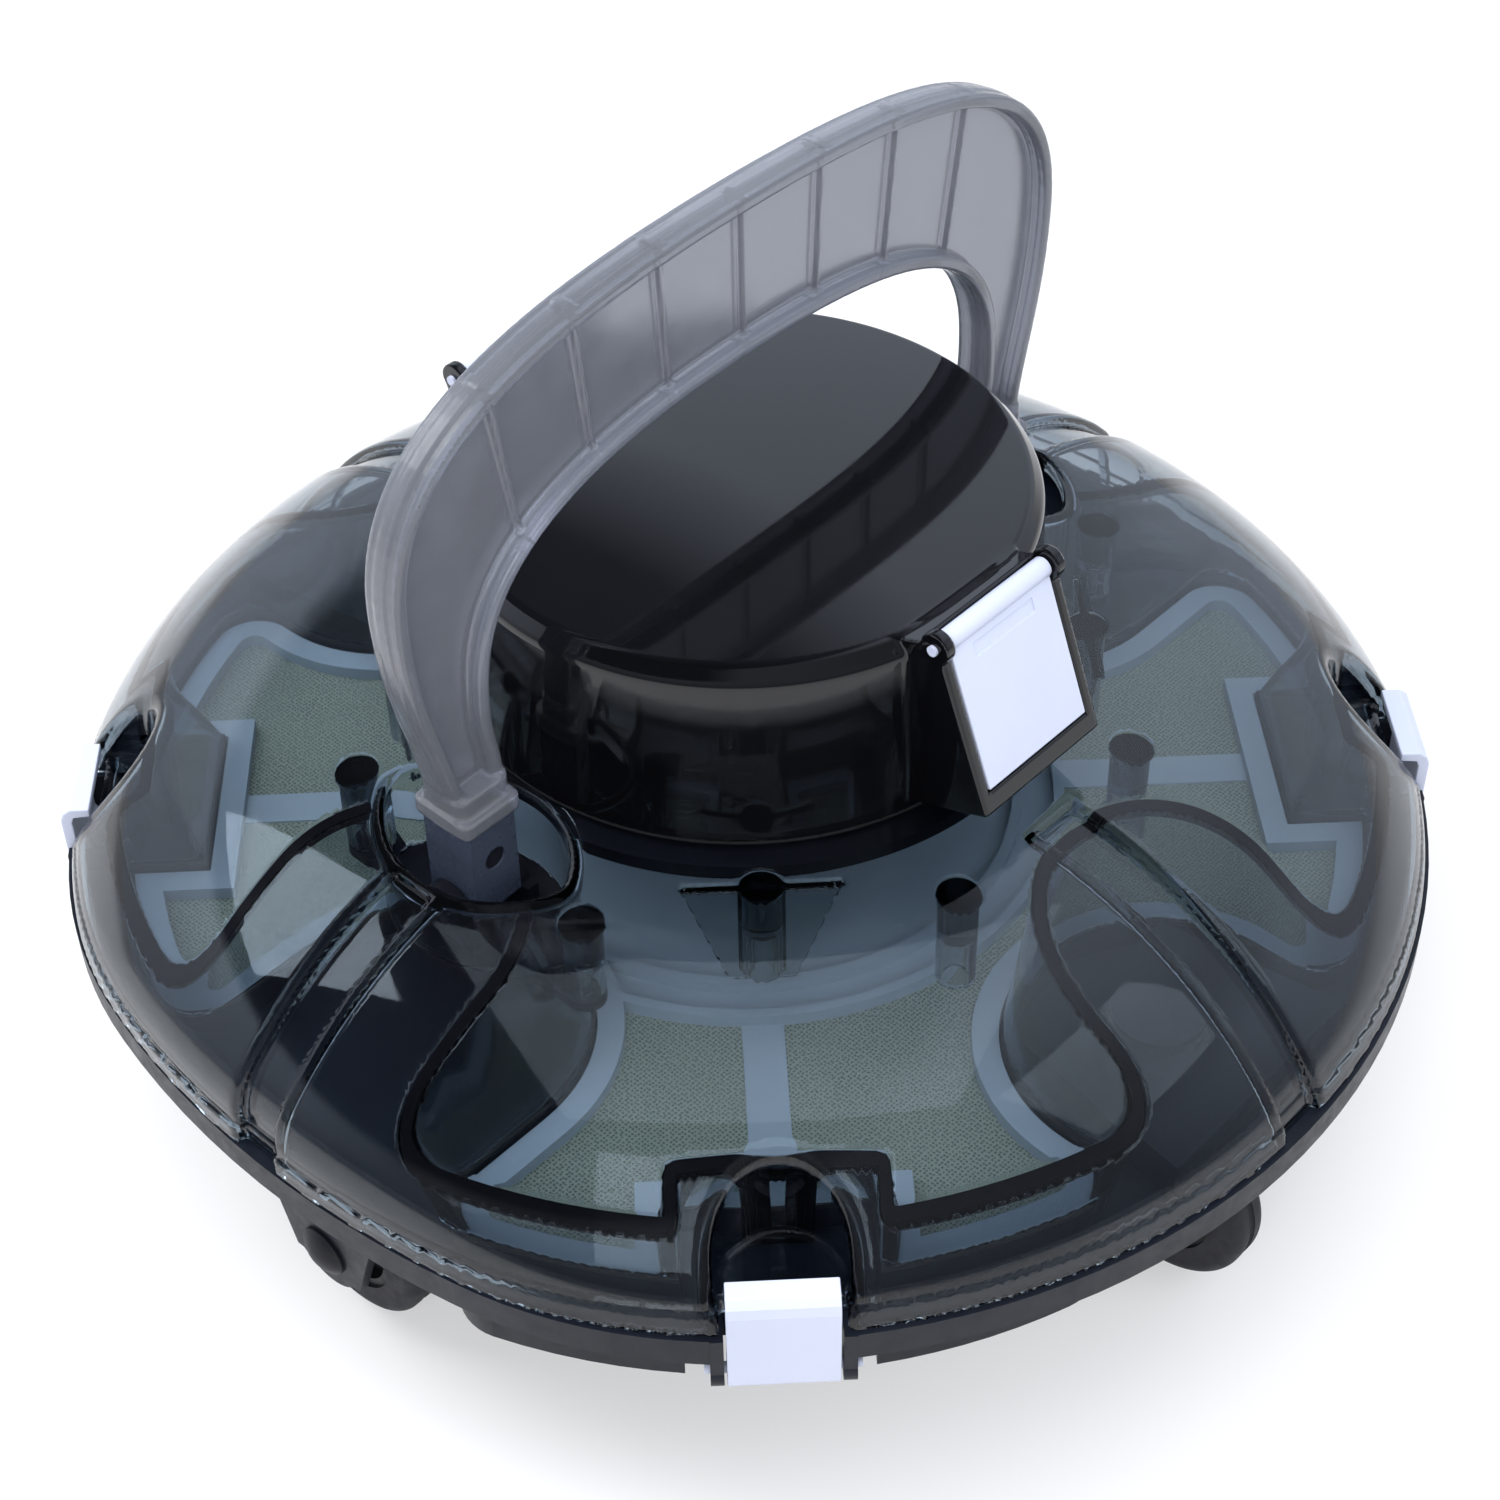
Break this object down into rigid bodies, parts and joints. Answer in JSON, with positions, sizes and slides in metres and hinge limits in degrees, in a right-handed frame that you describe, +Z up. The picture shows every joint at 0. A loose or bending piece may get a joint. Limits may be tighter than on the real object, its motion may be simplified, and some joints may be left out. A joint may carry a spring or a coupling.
{
  "type": "cordless pool cleaner",
  "caption": "Free-standing robotic pool cleaner: wheeled base with a suction inlet, filter tray, clear dome, motor cap with water-jet nozzles and a carrying handle.",
  "frame": {"origin": "on the floor under the middle of the cleaner", "axes": "+X towards one jet nozzle, +Y towards one foot of the handle, +Z up"},
  "size_m": [0.4, 0.383, 0.287],
  "materials": {
    "base_graphite": "fine satin moulding texture",
    "base_black": "satin",
    "black_rubber": "matte",
    "wheel_rubber": "matte",
    "white_plastic": "semi-gloss",
    "steel": "stainless",
    "filter_grey": "satin",
    "filter_cloth": "fine woven mesh",
    "smoky_clear": "clear, lightly tinted",
    "smoky_handle": "milky translucent",
    "foot_grey": "satin",
    "gloss_black": "high gloss",
    "battery_wrap": "shrink wrap",
    "board_green": "solder mask",
    "button_red": "satin silicone"
  },
  "bodies": {
    "base": {"chassis": "base_graphite", "filter_tub": "base_graphite", "suction_plate": "base_black", "wheel_brackets": "base_graphite", "wiper_strips": "black_rubber", "wheel_axles": "base_black", "latch_pins": "white_plastic", "plate_screws": "steel", "base_gasket": "black_rubber"},
    "filter_tray": {"filter_frame": "filter_grey", "filter_mesh": "filter_cloth"},
    "cover": {"dome_cover": "smoky_clear", "motor_cap": "gloss_black", "cap_gasket": "black_rubber", "motor_base": "base_black", "battery_pack": "battery_wrap", "circuit_board": "board_green", "motor_px": "steel", "motor_nx": "steel", "shaft_seals": "black_rubber", "handle_sockets": "base_black", "handle_pins": "steel", "socket_screws": "steel", "flap_pins": "white_plastic", "charge_socket": "base_black"},
    "handle": {"handle_arch": "smoky_handle", "handle_feet": "foot_grey", "handle_screws": "base_black"},
    "nozzle_flap_px": {"flap_px": "white_plastic"},
    "nozzle_flap_nx": {"flap_nx": "white_plastic"},
    "latch_front": {"latch_front": "white_plastic"},
    "latch_right": {"latch_right": "white_plastic"},
    "latch_back": {"latch_back": "white_plastic"},
    "latch_left": {"latch_left": "white_plastic"},
    "wheel_px": {"tyre_px": "wheel_rubber", "hub_px": "base_black"},
    "wheel_nx": {"tyre_nx": "wheel_rubber", "hub_nx": "base_black"},
    "wheel_py": {"tyre_py": "wheel_rubber", "hub_py": "base_black"},
    "wheel_ny": {"tyre_ny": "wheel_rubber", "hub_ny": "base_black"},
    "propeller_px": {"propeller_px": "white_plastic"},
    "propeller_nx": {"propeller_nx": "white_plastic"},
    "inlet_flap_py": {"inlet_flap_py": "black_rubber"},
    "inlet_flap_ny": {"inlet_flap_ny": "black_rubber"},
    "power_button": {"power_button": "button_red"},
    "charge_plug": {"charge_plug": "black_rubber"}
  },
  "joints": [
    {"name": "cover_lift", "type": "slide", "parent": "base", "child": "cover", "axis": [0, 0, 1], "range_m": [0, 0.14]},
    {"name": "filter_lift", "type": "slide", "parent": "base", "child": "filter_tray", "axis": [0, 0, 1], "range_m": [0, 0.07]},
    {"name": "handle_swing", "type": "hinge", "parent": "cover", "child": "handle", "pos_m": [0, 0, 0.12], "axis": [0, 1, 0], "range_deg": [-30, 30]},
    {"name": "flap_px_hinge", "type": "hinge", "parent": "cover", "child": "nozzle_flap_px", "pos_m": [0.0875, 0, 0.2005], "axis": [0, -1, 0], "range_deg": [0, 50]},
    {"name": "flap_nx_hinge", "type": "hinge", "parent": "cover", "child": "nozzle_flap_nx", "pos_m": [-0.0875, 0, 0.2005], "axis": [0, 1, 0], "range_deg": [0, 50]},
    {"name": "latch_front_pivot", "type": "hinge", "parent": "base", "child": "latch_front", "pos_m": [0.13824, -0.13824, 0.066], "axis": [0.7071, 0.7071, 0], "range_deg": [0, 100]},
    {"name": "latch_right_pivot", "type": "hinge", "parent": "base", "child": "latch_right", "pos_m": [0.13824, 0.13824, 0.066], "axis": [-0.7071, 0.7071, 0], "range_deg": [0, 100]},
    {"name": "latch_back_pivot", "type": "hinge", "parent": "base", "child": "latch_back", "pos_m": [-0.13824, 0.13824, 0.066], "axis": [-0.7071, -0.7071, 0], "range_deg": [0, 100]},
    {"name": "latch_left_pivot", "type": "hinge", "parent": "base", "child": "latch_left", "pos_m": [-0.13824, -0.13824, 0.066], "axis": [0.7071, -0.7071, 0], "range_deg": [0, 100]},
    {"name": "wheel_px_spin", "type": "hinge", "parent": "base", "child": "wheel_px", "pos_m": [0.161, 0, 0.028], "axis": [0, 1, 0], "continuous": true},
    {"name": "wheel_nx_spin", "type": "hinge", "parent": "base", "child": "wheel_nx", "pos_m": [-0.161, 0, 0.028], "axis": [0, 1, 0], "continuous": true},
    {"name": "wheel_py_spin", "type": "hinge", "parent": "base", "child": "wheel_py", "pos_m": [0, 0.162, 0.028], "axis": [0, 1, 0], "continuous": true},
    {"name": "wheel_ny_spin", "type": "hinge", "parent": "base", "child": "wheel_ny", "pos_m": [0, -0.162, 0.028], "axis": [0, 1, 0], "continuous": true},
    {"name": "propeller_px_spin", "type": "hinge", "parent": "cover", "child": "propeller_px", "pos_m": [0.09574, 0, 0.17903], "axis": [0.9336, 0, 0.3584], "continuous": true},
    {"name": "propeller_nx_spin", "type": "hinge", "parent": "cover", "child": "propeller_nx", "pos_m": [-0.09574, 0, 0.17903], "axis": [-0.9336, 0, 0.3584], "continuous": true},
    {"name": "inlet_flap_py_hinge", "type": "hinge", "parent": "base", "child": "inlet_flap_py", "pos_m": [0, 0.0045, 0.0234], "axis": [1, 0, 0], "range_deg": [0, 70]},
    {"name": "inlet_flap_ny_hinge", "type": "hinge", "parent": "base", "child": "inlet_flap_ny", "pos_m": [0, -0.0045, 0.0234], "axis": [-1, 0, 0], "range_deg": [0, 70]},
    {"name": "power_button_press", "type": "slide", "parent": "cover", "child": "power_button", "axis": [0.5736, -0.8192, 0], "range_m": [0, 0.002], "stiffness_N_per_m": 400},
    {"name": "charge_plug_pull", "type": "slide", "parent": "cover", "child": "charge_plug", "axis": [-0.866, 0.5, 0], "range_m": [0, 0.02]}
  ],
  "couplings": [
    {"joint": "filter_lift", "follows": "cover_lift", "ratio": 0.5}
  ]
}
